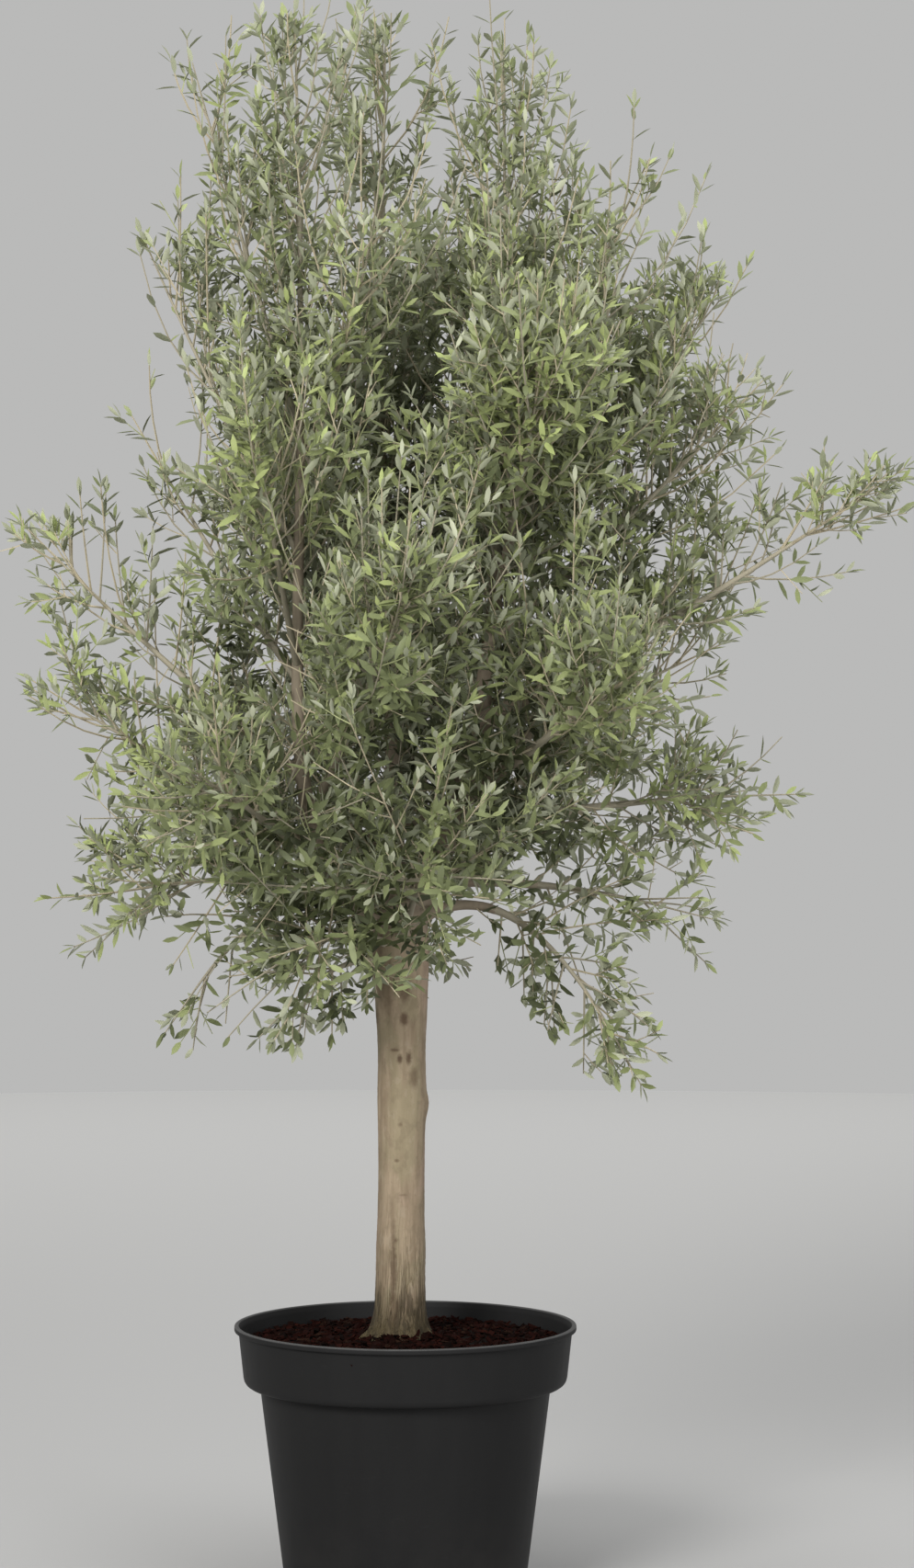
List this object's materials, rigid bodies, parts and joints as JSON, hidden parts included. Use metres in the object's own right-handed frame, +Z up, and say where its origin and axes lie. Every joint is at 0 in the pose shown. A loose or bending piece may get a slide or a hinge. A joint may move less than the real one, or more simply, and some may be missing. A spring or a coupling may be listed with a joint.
{
  "type": "potted olive tree",
  "caption": "Standard olive tree with a bare trunk and a loose feathery crown, in a round tapered nursery pot of bark compost.",
  "frame": {"origin": "centre of the pot's flat underside, on the ground", "axes": "+Z up the trunk, +X towards the crown's longest arm, -Y the front"},
  "size_m": [1.3477, 1.1466, 2.3467],
  "materials": {
    "pot": "moulded black plastic, satin",
    "compost": "moist bark compost, rough",
    "bark": "smooth grey-tan bark with fine fissures",
    "foliage": "sage green leaves, satin above and felted silver beneath"
  },
  "bodies": {
    "root": {"bough_arm_right": "bark", "bough_high_front_right": "bark", "bough_low_right": "bark", "bough_mid_back": "bark", "bough_mid_back_left": "bark", "bough_mid_back_right": "bark", "bough_mid_front": "bark", "bough_mid_front_left": "bark", "bough_mid_front_right": "bark", "bough_mid_left": "bark", "bough_mid_right": "bark", "bough_upper_right": "bark", "bough_weep_left": "bark", "bough_weep_right": "bark", "bough_wing_left": "bark", "bough_wing_right": "bark", "compost": "compost", "foliage_arm_right": "foliage", "foliage_crest_back": "foliage", "foliage_crest_front": "foliage", "foliage_crest_left": "foliage", "foliage_crest_middle": "foliage", "foliage_crest_right": "foliage", "foliage_crest_right_front": "foliage", "foliage_high_back_left": "foliage", "foliage_high_back_right": "foliage", "foliage_high_front_left": "foliage", "foliage_high_front_right": "foliage", "foliage_high_left": "foliage", "foliage_high_right": "foliage", "foliage_low_back": "foliage", "foliage_low_front": "foliage", "foliage_low_front_left": "foliage", "foliage_low_left": "foliage", "foliage_low_right": "foliage", "foliage_mid_back": "foliage", "foliage_mid_back_left": "foliage", "foliage_mid_back_right": "foliage", "foliage_mid_front": "foliage", "foliage_mid_front_left": "foliage", "foliage_mid_front_right": "foliage", "foliage_mid_left": "foliage", "foliage_mid_right": "foliage", "foliage_top_back": "foliage", "foliage_top_left": "foliage", "foliage_top_right": "foliage", "foliage_upper_left": "foliage", "foliage_upper_right": "foliage", "foliage_weep_back": "foliage", "foliage_weep_left": "foliage", "foliage_weep_near": "foliage", "foliage_weep_right": "foliage", "foliage_wing_left": "foliage", "foliage_wing_right": "foliage", "leader_back": "bark", "leader_left": "bark", "leader_right": "bark", "pot": "pot", "trunk": "bark"}
  },
  "joints": []
}
